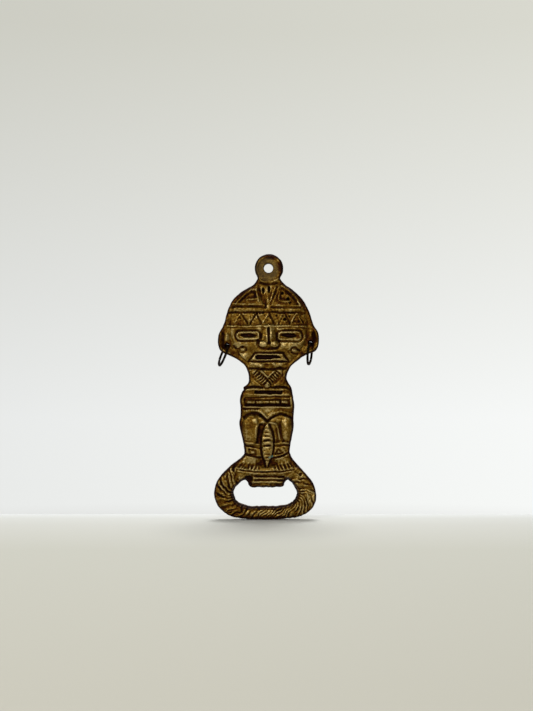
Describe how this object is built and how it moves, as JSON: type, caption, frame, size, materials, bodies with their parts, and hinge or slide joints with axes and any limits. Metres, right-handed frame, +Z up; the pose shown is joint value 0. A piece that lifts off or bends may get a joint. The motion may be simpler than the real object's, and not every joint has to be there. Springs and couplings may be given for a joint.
{
  "type": "souvenir bottle opener",
  "caption": "Cast brass souvenir bottle opener: an idol with a hanging lug stands on a rope loop whose tongue lifts crown caps, and a wire ring swings in each ear.",
  "frame": {"origin": "centre of the opener's width, at the bottom of its loop, in the middle of the casting's thickness", "axes": "+X to the right as seen from the front, +Y from the face to the flat back, +Z up from the loop to the hanging lug"},
  "size_m": [0.0598, 0.0132, 0.15],
  "materials": {
    "aged_brass": "sand-cast, dark in the hollows and rubbed bright on the ridges",
    "dark_wire": "dark patina"
  },
  "bodies": {
    "opener": {"casting": "aged_brass"},
    "left_ring": {"left_earring": "dark_wire"},
    "right_ring": {"right_earring": "dark_wire"}
  },
  "joints": [
    {"name": "left_earring_swing", "type": "hinge", "parent": "opener", "child": "left_ring", "pos_m": [-0.0222, 0, 0.0982], "axis": [0, 1, 0], "range_deg": [-52, 118]},
    {"name": "right_earring_swing", "type": "hinge", "parent": "opener", "child": "right_ring", "pos_m": [0.0248, 0, 0.0996], "axis": [0, 1, 0], "range_deg": [-145, 20]}
  ]
}
